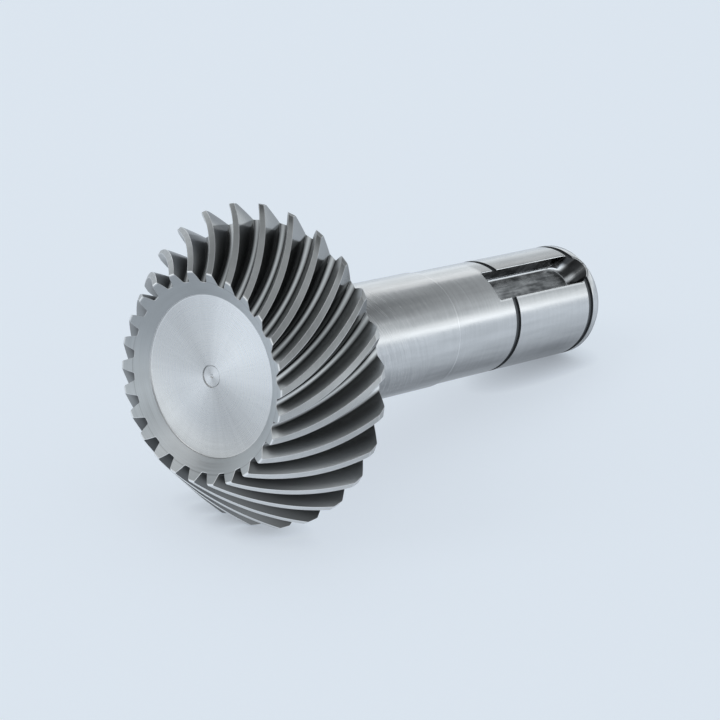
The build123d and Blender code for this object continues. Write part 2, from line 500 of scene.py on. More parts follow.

# The walls are dark and glossy, with light and shade painted in. One of each space has
# painted light growing towards its tip, and the other, glossier, has painted shade, with a
# painted highlight at the heel end of the upper teeth.
WALL_LINE_GRAIN = (5.0, 3.0, 0.08)
WALL_LINES = 0.06
WALL_DEPTH = 0.001
ROOT_HIGHLIGHT = 0.72
ROOT_HIGHLIGHT_REACH = 0.07
TIP_RISE = (0.12, 0.95)
TIP_GLINT = 0.85
FAR_SIDE_SHADE = 0.57
FAR_SIDE_ANGLE = radians(245.0)
FAR_SIDE_SPREAD = (0.20, 0.95)
LIT_SIDE_TINT = 0.12
LIT_SIDE_HEEL = 0.08
LIT_SIDE_HEEL_BELOW = 0.30
LIT_SIDE_HEEL_ALONG = (5.0, 13.0)
SHADED_SIDE_RISE = 0.1
SHADED_SIDE_TINT = 0.13
UPPER_TEETH_SPREAD = (-0.1, 0.6)
HEEL_END_HIGHLIGHT = 0.36
HEEL_END_HIGHLIGHT_RADIUS = (heel_root[0] - 0.1, heel_root[0] + 0.15)
TEETH_UNDERSIDE_SHADE = 0.85
TEETH_UNDERSIDE_SHADE_SPREAD = (0.40, 0.80)


def cut_marks(tree, radius, angle, along):
    """Faint lines along the teeth, a painted highlight along the root, and painted shade underneath."""
    rise = Wire.node(tree, "ShaderNodeAttribute", {"attribute_name": "rise"}, output="Fac")
    wound = angle - along * (SPIRAL_TURN / FACE_LENGTH)
    line = noise(tree, (rise, wound, along), WALL_LINE_GRAIN)
    underside_share = angle.facing(UNDERSIDE, *TEETH_UNDERSIDE_SHADE_SPREAD)
    far_side = angle.facing(FAR_SIDE_ANGLE, *FAR_SIDE_SPREAD)
    # painted light on one wall of each space: brighter towards the heel, more so underneath, and towards
    # its tip, less on the far side
    lit_side_tint = LIT_SIDE_TINT + along.rise(*LIT_SIDE_HEEL_ALONG) * (LIT_SIDE_HEEL + underside_share * LIT_SIDE_HEEL_BELOW)
    lit_side_tint = lit_side_tint + rise.rise(*TIP_RISE) * (TIP_GLINT - far_side * FAR_SIDE_SHADE)
    # painted shade on the other wall, which is also glossier: dark, lighter on the upper teeth, with a
    # painted highlight at their heel end
    upper = angle.facing(TOP, *UPPER_TEETH_SPREAD)
    shaded_side_tint = upper * (radius.rise(*HEEL_END_HIGHLIGHT_RADIUS) * HEEL_END_HIGHLIGHT + SHADED_SIDE_TINT)
    shaded_side = (-rise).rise(0.0, SHADED_SIDE_RISE)
    # a painted highlight along the root
    root_highlight = rise.near(0.0, 0.0, ROOT_HIGHLIGHT_REACH)
    tint = root_highlight * ROOT_HIGHLIGHT + blend(lit_side_tint, shaded_side_tint, shaded_side) + line * WALL_LINES
    # painted shade on the teeth underneath
    tint = tint * (1 - underside_share * TEETH_UNDERSIDE_SHADE)
    return tint.held(0, 1), 1 - shaded_side, line, WALL_DEPTH


CUT = steel(
    "cut_steel", (0.045, 0.046, 0.047), (0.92, 0.93, 0.93), 0.16, 0.38, cut_marks, grazing_tint=0.5
)


def in_metres(radius, angle, place):
    return (radius * cos(angle) * MILLIMETRE, radius * sin(angle) * MILLIMETRE, place * MILLIMETRE)


def quads_between(rings, closed):
    """Quads between rings of equally many points, facing away from the axis."""
    count = len(rings[0])
    faces = []
    for low, high in zip(rings, rings[1:]):
        for n in range(count if closed else count - 1):
            faces.append((low[n], low[(n + 1) % count], high[(n + 1) % count], high[n]))
    return faces


columns = len(rows[0])
wall_columns = 2 * len(steps) - 2


def tooth_finish(face_number):
    """The walls are cut. What is left beside them is turned, with the toe's edge filed."""
    band, column = divmod(face_number, columns - 1)
    if band == 0:
        return RING
    if band == len(rows) - 2:
        return BACK
    if column < wall_columns:
        return CUT
    return FILED if band == 1 else LAND


def finished(name, points, faces, finish_numbers):
    """An object whose faces carry the numbers of their finishes."""
    mesh = bpy.data.meshes.new(name)
    mesh.from_pydata(points, [], faces)
    mesh.attributes.new("finish", "INT", "FACE").data.foreach_set("value", finish_numbers)
    made = bpy.data.objects.new(name, mesh)
    bpy.context.scene.collection.objects.link(made)
    return made


rings = [range(n * columns, (n + 1) * columns) for n in range(len(rows))]
tooth_points = [
    in_metres(radius, FIRST_SPACE + angle, place) for row in rows for radius, angle, place in row
]
tooth_faces = quads_between(rings, closed=False)
pinion = finished("pinion", tooth_points, tooth_faces, [tooth_finish(n) for n in range(len(tooth_faces))])

# how far up the wall each point is: 0 at the root, -1 and 1 at the two tips
FILLET_RISE = 0.18
FILLET_FOOT = 0.3
up_wall = [0.0]
up_wall += [FILLET_RISE * blend(FILLET_FOOT, 1, n / FILLET_STEPS) for n in range(FILLET_STEPS + 1)]
up_wall += [blend(FILLET_RISE, 1, n / FLANK_STEPS) for n in range(1, FLANK_STEPS + 1)]
row_rise = [-rise for rise in reversed(up_wall)] + up_wall[1:] + [1.0] * LAND_STEPS
pinion.data.attributes.new("rise", "FLOAT", "POINT").data.foreach_set("value", row_rise * len(rows))

# The toe face, turned on the same bar: a sloping ring, a shallow step, and a finely
# faced disc with the mark of the plugged turning centre in its middle.
TOE_RING_SLOPE = radians(32.8)
DISC_RADIUS = 13.2
DISC_STEP = 0.3
DISC_CORNER = 0.25
DISC_MIDDLE_RING = 7.0
CORNER_MIDDLE = 0.3
MARK_RADIUS = 1.87
MARK_DEPTH = 0.15
MARK_LINE = 0.12
MARK_LINE_INNER = MARK_RADIUS - 0.22
MARK_LINE_FLOOR = (MARK_RADIUS - 0.16, MARK_RADIUS - 0.05)
MARK_RIM = MARK_RADIUS + 0.08
PIP_RADIUS = 0.35
PIP_DEPTH = 0.25
PIP_FLAT = 0.5
PIP_FLAT_DEPTH = 0.8
CLOSE = 0.01

DISC_GRAIN = (5.0, 0.8)
DISC_RINGS = 0.06
DISC_STREAKS = 0.25
DISC_QUICK_TURNS = 9.0
DISC_SLOW_TURNS = 5.0
DISC_SLOW_SHIFT = 1.0
DISC_STREAK_GRAIN = (1.2, 1.2, 0.06)
DISC_DETAIL = 3.0
DISC_TINT = 0.5
# painted sheen and highlight on the disc: a fan, a lighter side, and a bright rim
DISC_FAN_SHEEN = 0.26
DISC_FAN_ANGLE = radians(47.0)
DISC_SIDE_SHEEN = 0.025
DISC_SIDE_SHEEN_ANGLE = radians(20.0)
DISC_RIM_HIGHLIGHT = 0.5
DISC_RIM_RADIUS = (DISC_RADIUS - DISC_CORNER, DISC_RADIUS - DISC_CORNER * 0.6)
DISC_DEPTH = 0.0025


def faced_marks(tree, radius, angle, along):
    """Finer rings, with a painted sheen that runs out in a fan from the centre and is lighter on one side,
    and a painted highlight at the rim.
    """
    ring = noise(tree, (radius, angle), DISC_GRAIN, DISC_DETAIL)
    quick = (angle * DISC_QUICK_TURNS).sine()
    slow = (angle * DISC_SLOW_TURNS + DISC_SLOW_SHIFT).sine()
    streak = noise(tree, (quick, slow, radius), DISC_STREAK_GRAIN, DISC_DETAIL)
    disc_side_sheen = (angle - DISC_SIDE_SHEEN_ANGLE).cosine() * radius * DISC_SIDE_SHEEN
    rim = radius.rise(*DISC_RIM_RADIUS)
    tint = DISC_TINT + angle.fan(DISC_FAN_ANGLE) * DISC_FAN_SHEEN + disc_side_sheen + rim * DISC_RIM_HIGHLIGHT
    tint = tint + streak.swing(DISC_STREAKS) + ring.swing(DISC_RINGS)
    return tint.held(0, 1), ring.rise(*NOISE_MIDDLE) + rim, ring, DISC_DEPTH


DISC = steel("disc_steel", (0.44, 0.44, 0.44), (0.88, 0.88, 0.88), 0.24, 0.34, faced_marks)


def turned_part(profile, angles, tip_first):
    """Points and faces turned from a profile whose first or last point lies on the axis."""
    points, rings = [], []
    for radius, place in profile[1:] if tip_first else profile[:-1]:
        rings.append(range(len(points), len(points) + len(angles)))
        points += [in_metres(radius, angle, place) for angle in angles]
    faces = quads_between(rings, closed=True)
    tip = len(points)
    points.append(in_metres(0, 0, (profile[0] if tip_first else profile[-1])[1]))
    ring = rings[0] if tip_first else rings[-1]
    for n in range(len(ring)):
        here, after = ring[n], ring[(n + 1) % len(ring)]
        faces.append((tip, after, here) if tip_first else (here, after, tip))
    return points, faces


def toe_finish(face):
    """The disc is faced finely, and the ring round it more roughly."""
    reach = max(hypot(*toe_points[n][:2]) for n in face) / MILLIMETRE
    return DISC if reach < DISC_RADIUS + CLOSE else RING


rim = (DISC_RADIUS, toe_place(TOE_RING_OUTER) + (TOE_RING_OUTER - DISC_RADIUS) * tan(TOE_RING_SLOPE))
disc = rim[1] + DISC_STEP
mark = disc + MARK_DEPTH
toe_profile = [
    (0, mark + PIP_DEPTH),
    (PIP_RADIUS * PIP_FLAT, mark + PIP_DEPTH * PIP_FLAT_DEPTH),
    (PIP_RADIUS, mark),
    (MARK_LINE_INNER, mark),
    (MARK_LINE_FLOOR[0], mark + MARK_LINE),
    (MARK_LINE_FLOOR[1], mark + MARK_LINE),
    (MARK_RADIUS, disc),
    (MARK_RIM, disc),
    (DISC_MIDDLE_RING, disc),
    (DISC_RADIUS - DISC_CORNER, disc),
    (DISC_RADIUS - DISC_CORNER * CORNER_MIDDLE, disc - DISC_CORNER * CORNER_MIDDLE),
    (DISC_RADIUS, disc - DISC_CORNER),
    rim,
    (TOE_RING_OUTER, toe_place(TOE_RING_OUTER)),
]
all_toe_angles = [
    FIRST_SPACE + tooth * PITCH_TURN + angle for tooth in range(TOOTH_COUNT) for angle in toe_angles[:-1]
]
toe_points, toe_faces = turned_part(toe_profile, all_toe_angles, tip_first=True)

# The back of the gear, a bearing shoulder and the shaft, turned from the same bar: the
# seats for a bearing and a hub are ground, and two grooves take retaining rings. The
# end has a chamfer and a centre hole, and the keyway is milled into the hub's seat.
SHOULDER_RADIUS = 14.0
SHOULDER_HEIGHT = 1.2
SHOULDER_CORNER = 1.0
BEARING_RADIUS = 10.0
BEARING_END = 54.1
HUB_RADIUS = 9.8
SHAFT_LENGTH = 95.5
END_CHAMFER_LENGTH = 1.4
END_CHAMFER_DEPTH = 0.8
CENTRE_HOLE_RADIUS = 1.25
CENTRE_HOLE_DEPTH = 6.0
CENTRE_CONE_RADIUS = 2.65
CENTRE_CONE_ANGLE = radians(60.0)
RING_GROOVE_RADIUS = 9.5
RING_GROOVE_WIDTH = 1.3
GROOVE_STARTS = (70.1, 91.5)
KEYWAY_ANGLE = radians(35.5)
KEYWAY_WIDTH = 6.0
KEYWAY_START = 66.8
BACK_JOIN = 0.5
SHAFT_SIDES = 312
LONGEST_RUN = 1.5

# what marks the ground seats, by place along and round the shaft: lines, painted shade
# underneath, the step's painted highlight and shadow lines, a painted highlight along the
# keyway's near edge and painted shade behind its far edge, and a pale painted highlight
# band and a dark painted reflection band
GROUND_DETAIL = 3.0
ROUND_LINE_GRAIN = (2.4, 0.6)
ROUND_LINES = 0.45
SLANT_LINE_GRAIN = (2.2, 1.8)
SLANT_LEAD = 4.0
SLANT_CONTRAST = (0.35, 0.65)
SLANT_END = (24.0, 58.0)
GROUND_CLOUD_GRAIN = (0.05, 4.0)
GROUND_TINT = 0.47
GROUND_LINES = 0.14
GROUND_CLOUDS = 0.10
GROUND_DEPTH = 0.004
SHAFT_UNDERSIDE_SHADE = 0.52
SHAFT_UNDERSIDE_SHADE_SPREAD = (-0.08, 0.70)
SEAT_LINE = BEARING_END - 0.1
SEAT_LINE_GLINT = 0.26
SEAT_LINE_REACH = (0.03, 0.14)
SEAT_LINE_HEIGHT = 0.5
SEAT_SHADE = 0.22
SEAT_SHADE_PLACE = SEAT_LINE + 0.16
SEAT_SHADE_REACH = (0.04, 0.14)
KEY_EDGE_GLINT = 0.35
KEY_EDGE_ACROSS = (0.0, 0.1, 0.25, 0.5)
KEY_EDGE_ALONG = (KEYWAY_START - 0.2, KEYWAY_START, 92.0, 93.0)
BEHIND_KEY_SHADE = 0.34
BEHIND_KEY_ACROSS = (-8.5, -3.4, -3.1, -2.9)
BEHIND_KEY_ALONG = (KEYWAY_START - 0.5, KEYWAY_START + 1.0, 91.0, 93.0)
BEHIND_KEY_SPREAD = (0.45, 0.75)
GEAR_END_SHADE = 0.02
DARK_REFLECTION = 0.31
DARK_REFLECTION_ANGLE = radians(40.0)
DARK_REFLECTION_SPREAD = (0.970, 1.0)
HIGHLIGHT_BAND = 0.03
HIGHLIGHT_BAND_ANGLE = radians(73.0)
HIGHLIGHT_BAND_SPREAD = (0.985, 1.0)
ABOVE_HIGHLIGHT_SHADE = 0.08
ABOVE_HIGHLIGHT_SHADE_ANGLE = radians(60.0)
ABOVE_HIGHLIGHT_SHADE_SPREAD = (0.990, 1.0)


def ground_marks(tree, radius, angle, along):
    """Grinding lines round the shaft, slanted near the gear, with painted shade on its underside."""
    round_line = noise(tree, (along, angle), ROUND_LINE_GRAIN, GROUND_DETAIL).rise(*NOISE_MIDDLE)
    slanted = along - angle * SLANT_LEAD
    slant_line = noise(tree, (slanted, angle), SLANT_LINE_GRAIN, GROUND_DETAIL).rise(*SLANT_CONTRAST)
    cloud = noise(tree, (along, angle), GROUND_CLOUD_GRAIN).rise(*NOISE_MIDDLE)
    near_gear = 1 - along.rise(*SLANT_END)
    line = blend(round_line * ROUND_LINES, slant_line, near_gear)
    across = radius * (angle - KEYWAY_ANGLE).sine()
    key_edge = (across - KEYWAY_WIDTH / 2).band(*KEY_EDGE_ACROSS) * along.band(*KEY_EDGE_ALONG)
    behind_key_shade = across.band(*BEHIND_KEY_ACROSS) * along.band(*BEHIND_KEY_ALONG)
    behind_key_shade = behind_key_shade * angle.facing(TOP, *BEHIND_KEY_SPREAD)
    seat_line = along.near(SEAT_LINE, *SEAT_LINE_REACH)
    seat_shade = along.near(SEAT_SHADE_PLACE, *SEAT_SHADE_REACH)
    dark_reflection = angle.facing(DARK_REFLECTION_ANGLE, *DARK_REFLECTION_SPREAD)
    highlight_band = angle.facing(HIGHLIGHT_BAND_ANGLE, *HIGHLIGHT_BAND_SPREAD)
    above_highlight_shade = angle.facing(ABOVE_HIGHLIGHT_SHADE_ANGLE, *ABOVE_HIGHLIGHT_SHADE_SPREAD)
    tint = GROUND_TINT + line * GROUND_LINES + cloud * GROUND_CLOUDS
    # painted shade on the shaft's underside
    tint = tint - angle.facing(UNDERSIDE, *SHAFT_UNDERSIDE_SHADE_SPREAD) * SHAFT_UNDERSIDE_SHADE
    # a painted highlight on the step's line and a painted shadow just past it
    tint = tint + seat_line * SEAT_LINE_GLINT - seat_shade * SEAT_SHADE
    # a painted highlight along the keyway's near edge, and painted shade behind its far edge
    tint = tint + key_edge * KEY_EDGE_GLINT - behind_key_shade * BEHIND_KEY_SHADE
    # a painted reflection of the gear's dark back: a dark band near the gear, and a little painted shade
    # there
    tint = tint - near_gear * (dark_reflection * DARK_REFLECTION + GEAR_END_SHADE)
    # a painted highlight band round the shaft, with painted shade just above it
    tint = tint + highlight_band * HIGHLIGHT_BAND - above_highlight_shade * ABOVE_HIGHLIGHT_SHADE
    return tint.held(0, 1), line, line + seat_line * SEAT_LINE_HEIGHT, GROUND_DEPTH


GROUND = steel("ground_steel", (0.16, 0.165, 0.17), (0.95, 0.95, 0.95), 0.19, 0.31, ground_marks)
GROOVED = steel("grooved_steel", (0.10, 0.105, 0.11), (0.16, 0.165, 0.17), 0.40, 0.55, turned_marks)


def divided(profile, longest):
    """The profile with points added so that no run is longer than this."""
    out = [profile[0]]
    for start, end in zip(profile, profile[1:]):
        count = max(1, round(hypot(end[0] - start[0], end[1] - start[1]) / longest))
        out += [between(start, end, n / count) for n in range(1, count + 1)]
    return out


def shaft_finish(face):
    """The seats are ground, the ring grooves dark and rough, and the rest turned."""
    place = sum(shaft_points[n][2] for n in face) / len(face) / MILLIMETRE
    reaches = [hypot(*shaft_points[n][:2]) / MILLIMETRE for n in face]
    in_groove = any(start - CLOSE < place < start + RING_GROOVE_WIDTH + CLOSE for start in GROOVE_STARTS)
    if in_groove and min(reaches) < HUB_RADIUS - CLOSE:
        return GROOVED
    on_seat = min(reaches) > HUB_RADIUS - CLOSE and max(reaches) < BEARING_RADIUS + CLOSE
    return GROUND if on_seat else BACK


shoulder = back_rim[1] + SHOULDER_HEIGHT
shaft_profile = [
    (back_rim[0] - BACK_JOIN, back_rim[1]),
    (SHOULDER_RADIUS, back_rim[1]),
    (SHOULDER_RADIUS, shoulder),
    (BEARING_RADIUS + SHOULDER_CORNER, shoulder),
    (BEARING_RADIUS + SHOULDER_CORNER * CORNER_MIDDLE, shoulder + SHOULDER_CORNER * CORNER_MIDDLE),
    (BEARING_RADIUS, shoulder + SHOULDER_CORNER),
    (BEARING_RADIUS, BEARING_END),
    (HUB_RADIUS, BEARING_END),
]
for start in GROOVE_STARTS:
    shaft_profile += [
        (HUB_RADIUS, start),
        (RING_GROOVE_RADIUS, start),
        (RING_GROOVE_RADIUS, start + RING_GROOVE_WIDTH),
        (HUB_RADIUS, start + RING_GROOVE_WIDTH),
    ]
cone_depth = (CENTRE_CONE_RADIUS - CENTRE_HOLE_RADIUS) / tan(CENTRE_CONE_ANGLE / 2)
shaft_profile += [
    (HUB_RADIUS, SHAFT_LENGTH - END_CHAMFER_LENGTH),
    (HUB_RADIUS - END_CHAMFER_DEPTH, SHAFT_LENGTH),
    (CENTRE_CONE_RADIUS, SHAFT_LENGTH),
    (CENTRE_HOLE_RADIUS, SHAFT_LENGTH - cone_depth),
    (CENTRE_HOLE_RADIUS, SHAFT_LENGTH - CENTRE_HOLE_DEPTH),
    (0, SHAFT_LENGTH - CENTRE_HOLE_DEPTH),
]
even_angles = [2 * pi * n / SHAFT_SIDES for n in range(SHAFT_SIDES)]
shaft_points, shaft_faces = turned_part(divided(shaft_profile, LONGEST_RUN), even_angles, tip_first=False)

# the back face joins the ring of tooth ends to the shaft's evenly divided ring
heel_ring = sorted(
    (FIRST_SPACE + tooth * PITCH_TURN + angle) % (2 * pi)
    for tooth in range(TOOTH_COUNT)
    for angle in heel_angles[:-1]
)
back_points = [in_metres(back_rim[0], angle, back_rim[1]) for angle in heel_ring]
back_points += [in_metres(back_rim[0] - BACK_JOIN, angle, back_rim[1]) for angle in even_angles]
back_faces = []
outer, inner = 0, 0
while outer < len(heel_ring) or inner < SHAFT_SIDES:
    next_outer = heel_ring[outer + 1] if outer + 1 < len(heel_ring) else heel_ring[0] + 2 * pi
    next_inner = 2 * pi * (inner + 1) / SHAFT_SIDES
    here = outer % len(heel_ring), len(heel_ring) + inner % SHAFT_SIDES
    if inner >= SHAFT_SIDES or (outer < len(heel_ring) and next_outer <= next_inner):
        outer += 1
        back_faces.append((here[0], outer % len(heel_ring), here[1]))
    else:
        inner += 1
        back_faces.append((here[0], len(heel_ring) + inner % SHAFT_SIDES, here[1]))

turned_points, turned_faces, turned_finishes = [], [], []
for part_points, part_faces, part_finishes in (
    (toe_points, toe_faces, [toe_finish(face) for face in toe_faces]),
    (back_points, back_faces, [BACK] * len(back_faces)),
    (shaft_points, shaft_faces, [shaft_finish(face) for face in shaft_faces]),
):
    turned_faces += [tuple(len(turned_points) + n for n in face) for face in part_faces]
    turned_points += part_points
    turned_finishes += part_finishes
turned = finished("turned_parts", turned_points, turned_faces, turned_finishes)

# The keyway, milled for a 6 mm key: square with small corners at the gear end, round
# at the shaft end, where the wall leans out as the end mill was drawn back. What is
# drawn here is the metal that the mill takes away, with a rounded foot and filed rim.
KEYWAY_DEPTH = 3.5
KEYWAY_FLOOR_END = 91.5
KEYWAY_END_LEAN = radians(35.5)
KEYWAY_CORNER = 0.6
KEYWAY_FOOT = 0.4
KEYWAY_FLOOR = HUB_RADIUS - KEYWAY_DEPTH
RIM_BREAK = 0.25
CORNER_SIDES = 6
ROUND_SIDES = 32
FOOT_STEPS = 4
CUTTER_TOP = 11.5

MILLED_STREAK_GRAIN = (1.5, 0.16, 0.3)
MILLED_STREAK_DETAIL = 3.0
MILLED_PATCH_GRAIN = (0.4, 0.3, 0.3)
MILLED_CONTRAST = (0.36, 0.64)
MILLED_DEPTH = 0.01


def milled_marks(tree, radius, angle, along):
    """The end mill's marks along the keyway, smooth and patchy."""
    across = radius * (angle - KEYWAY_ANGLE).sine()
    streak = noise(tree, (across, along, radius), MILLED_STREAK_GRAIN, MILLED_STREAK_DETAIL)
    patch = noise(tree, (across, along, radius), MILLED_PATCH_GRAIN)
    tint = blend(streak, patch, 0.5).rise(*MILLED_CONTRAST)
    return tint, patch.rise(*NOISE_MIDDLE), streak, MILLED_DEPTH


MILLED = steel("milled_steel", (0.16, 0.165, 0.17), (0.60, 0.605, 0.61), 0.14, 0.28, milled_marks)
# painted shade in the keyway: its straight walls are near black
KEYWAY_WALL_SHADE = steel(
    "keyway_wall_shade_steel", (0.02, 0.0202, 0.0204), (0.20, 0.202, 0.204), 0.18, 0.30, milled_marks, grazing_tint=0.5
)
# a painted highlight on the keyway's rounded foot, paler than its floor
KEYWAY_FOOT_HIGHLIGHT = steel("foot_highlight_steel", (0.74, 0.745, 0.75), (0.86, 0.865, 0.87), 0.26, 0.34, milled_marks)

# painted shade and highlights on the keyway's leaning end: near black but for a patch and a streak
SCOOP_CLOUD_GRAIN = (2.0, 0.6)
SCOOP_CLOUDS = 0.12
SCOOP_LOW = (0.7, 1.9)
SCOOP_HIGHLIGHT_TURN = (-1.62, -1.30, -0.85, -0.45)
SCOOP_STREAK_HIGHLIGHT_TURN = (-0.15, 0.10, 0.15, 0.40)
SCOOP_STREAK_HIGHLIGHT = 0.1
SCOOP_STREAK_HIGHLIGHT_LOW = 0.6
SCOOP_DEPTH = 0.002


def scooped_marks(tree, radius, angle, along):
    """The keyway's leaning end, near black with painted shade but for two painted highlights, a patch and a
    streak, mostly low down.
    """
    across = radius * (angle - KEYWAY_ANGLE).sine()
    up = radius * (angle - KEYWAY_ANGLE).cosine() - KEYWAY_FLOOR
    out = along - (KEYWAY_FLOOR_END - KEYWAY_WIDTH / 2) - up * tan(KEYWAY_END_LEAN)
    turn = out.maths("ARCTAN2", across, out)
    low = 1 - up.rise(*SCOOP_LOW)
    patch = turn.band(*SCOOP_HIGHLIGHT_TURN) * low
    streak = turn.band(*SCOOP_STREAK_HIGHLIGHT_TURN) * (low * SCOOP_STREAK_HIGHLIGHT_LOW + SCOOP_STREAK_HIGHLIGHT)
    cloud = noise(tree, (turn, up), SCOOP_CLOUD_GRAIN)
    return (patch + streak + cloud * SCOOP_CLOUDS).held(0, 1), cloud, cloud, SCOOP_DEPTH


SCOOP = steel("scoop_steel", (0.012, 0.0122, 0.0124), (0.92, 0.925, 0.93), 0.14, 0.24, scooped_marks)


def keyway_ring(height, inset, follows_shaft=False):
    """The keyway's outline at a height above the axis, drawn in by the inset, as points in metres."""
    half = KEYWAY_WIDTH / 2
    corner = KEYWAY_CORNER - inset
    flat = []
    for side, first in ((1, pi / 2), (-1, pi)):
        for n in range(CORNER_SIDES + 1):
            angle = first + pi / 2 * n / CORNER_SIDES
            along = KEYWAY_START + KEYWAY_CORNER + corner * cos(angle)
            flat.append((along, side * (half - KEYWAY_CORNER) + corner * sin(angle), 0.0))
    for n in range(ROUND_SIDES + 1):
        angle = -pi / 2 + pi * n / ROUND_SIDES
        along = KEYWAY_FLOOR_END - half + (half - inset) * cos(angle)
        flat.append((along, (half - inset) * sin(angle), 1.0))
    flat.reverse()
    up, over = (cos(KEYWAY_ANGLE), sin(KEYWAY_ANGLE)), (-sin(KEYWAY_ANGLE), cos(KEYWAY_ANGLE))
    placed = []
    for along, across, leans in flat:
        here = height + (sqrt(HUB_RADIUS**2 - across**2) - HUB_RADIUS if follows_shaft else 0.0)
        along += leans * (here - KEYWAY_FLOOR) * tan(KEYWAY_END_LEAN)
        side = here * up[0] + across * over[0], here * up[1] + across * over[1]
        placed.append((side[0] * MILLIMETRE, side[1] * MILLIMETRE, along * MILLIMETRE))
    return placed


foot_angles = [pi / 2 * n / FOOT_STEPS for n in range(FOOT_STEPS + 1)]
cutter_rings = [
    keyway_ring(KEYWAY_FLOOR + KEYWAY_FOOT * (1 - cos(angle)), KEYWAY_FOOT * (1 - sin(angle)))
    for angle in foot_angles
]
cutter_rings.append(keyway_ring(HUB_RADIUS - RIM_BREAK / 2, 0.0, follows_shaft=True))
cutter_rings.append(keyway_ring(HUB_RADIUS + RIM_BREAK / 2, -RIM_BREAK, follows_shaft=True))
cutter_rings.append(keyway_ring(CUTTER_TOP, -RIM_BREAK))
cutter_points = [point for ring in cutter_rings for point in ring]
count = len(cutter_rings[0])
cutter_faces, cutter_finishes = [tuple(reversed(range(count)))], [MILLED]
for level in range(len(cutter_rings) - 1):
    for n in range(count):
        low, high = level * count + n, (level + 1) * count + n
        low_next, high_next = level * count + (n + 1) % count, (level + 1) * count + (n + 1) % count
        cutter_faces += [(low, low_next, high_next), (low, high_next, high)]
        if level > FOOT_STEPS:
            kind = FILED
        elif n < ROUND_SIDES:
            kind = SCOOP if level else KEYWAY_FOOT_HIGHLIGHT
        else:
            kind = KEYWAY_WALL_SHADE if level == FOOT_STEPS else KEYWAY_FOOT_HIGHLIGHT
        cutter_finishes += [kind] * 2
cutter_faces.append(tuple(range(len(cutter_points) - count, len(cutter_points))))
cutter_finishes.append(FILED)
cutter = finished("keyway_cutter", cutter_points, cutter_faces, cutter_finishes)

# The pinion is put together as it is made: the tooth spaces follow one another round
# the blank by indexing, the turned parts join them, and the keyway is milled last.
# Then each sharp edge is broken with a file and a brush, less where room is short.
MERGE_REACH = 2e-6
SHARP_ANGLE = radians(30.0)
EDGE_BREAK = 0.08
EDGE_ROOM = 0.4
EDGE_STEPS = 2
UNBROKEN_CENTRE = MARK_RADIUS + 0.2

steel("edge_steel", (0.40, 0.40, 0.40), (0.90, 0.90, 0.90), 0.28, 0.40, land_marks)
assembly = bpy.data.node_groups.new("index_join_and_mill", "GeometryNodeTree")
for name, kind in (
    ("Tooth space", "NodeSocketGeometry"),
    ("Teeth", "NodeSocketInt"),
    ("Turned parts", "NodeSocketObject"),
    ("Keyway cutter", "NodeSocketObject"),
    ("Merge reach", "NodeSocketFloat"),
):
    assembly.interface.new_socket(name, in_out="INPUT", socket_type=kind)
assembly.interface.new_socket("Pinion", in_out="OUTPUT", socket_type="NodeSocketGeometry")
given = {wire.socket.name: wire for wire in Wire.node(assembly, "NodeGroupInput").beside()}
centres = Wire.node(
    assembly, "GeometryNodeMeshLine", {}, {"Count": given["Teeth"], "Offset": (0, 0, 0)}
)
turn_to = Wire.node(assembly, "GeometryNodeInputIndex") * (2 * pi) / given["Teeth"]
indexed = Wire.node(
    assembly,
    "GeometryNodeInstanceOnPoints",
    {},
    {
        "Points": centres,
        "Instance": given["Tooth space"],
        "Rotation": Wire.node(assembly, "ShaderNodeCombineXYZ", {}, {"Z": turn_to}),
    },
)
teeth = Wire.node(assembly, "GeometryNodeRealizeInstances", {}, {"Geometry": indexed})
turned_shape, cutter_shape = (
    Wire.node(assembly, "GeometryNodeObjectInfo", {}, {"Object": given[name]}, output="Geometry")
    for name in ("Turned parts", "Keyway cutter")
)
joined = Wire.node(assembly, "GeometryNodeJoinGeometry", {}, {0: [teeth, turned_shape]})
merged = Wire.node(
    assembly, "GeometryNodeMergeByDistance", {}, {"Geometry": joined, "Distance": given["Merge reach"]}
)
dressed = Wire.node(
    assembly,
    "GeometryNodeMeshBoolean",
    {"operation": "DIFFERENCE", "solver": "EXACT"},
    {"Mesh 1": merged, "Mesh 2": cutter_shape},
)
finish = Wire.node(
    assembly, "GeometryNodeInputNamedAttribute", {"data_type": "INT"}, {"Name": "finish"}
)
# a Compare node takes whole numbers in sockets 2 and 3
for kind, material in enumerate(finishes):
    is_kind = Wire.node(
        assembly, "FunctionNodeCompare", {"data_type": "INT", "operation": "EQUAL"}, {2: finish, 3: kind}
    )
    dressed = Wire.node(
        assembly,
        "GeometryNodeSetMaterial",
        {},
        {"Geometry": dressed, "Selection": is_kind, "Material": material},
    )
Wire.node(assembly, "NodeGroupOutput", {}, {0: dressed}, output=None)

maker = pinion.modifiers.new("made", "NODES")
maker.node_group = assembly
sockets = assembly.interface.items_tree
identifiers = {socket.name: socket.identifier for socket in sockets if socket.in_out == "INPUT"}
maker[identifiers["Teeth"]] = TOOTH_COUNT
maker[identifiers["Turned parts"]] = turned
maker[identifiers["Keyway cutter"]] = cutter
maker[identifiers["Merge reach"]] = MERGE_REACH


def plain_mesh():
    """The pinion's mesh with its modifiers worked in, which then leave the object."""
    bpy.context.view_layer.update()
    mesh = bpy.data.meshes.new_from_object(pinion.evaluated_get(bpy.context.evaluated_depsgraph_get()))
    pinion.modifiers.clear()
    pinion.data = mesh
    return mesh


sharp_mesh = plain_mesh()
for helper in (turned, cutter):
    bpy.data.objects.remove(helper)
for face in sharp_mesh.polygons:
    face.use_smooth = True

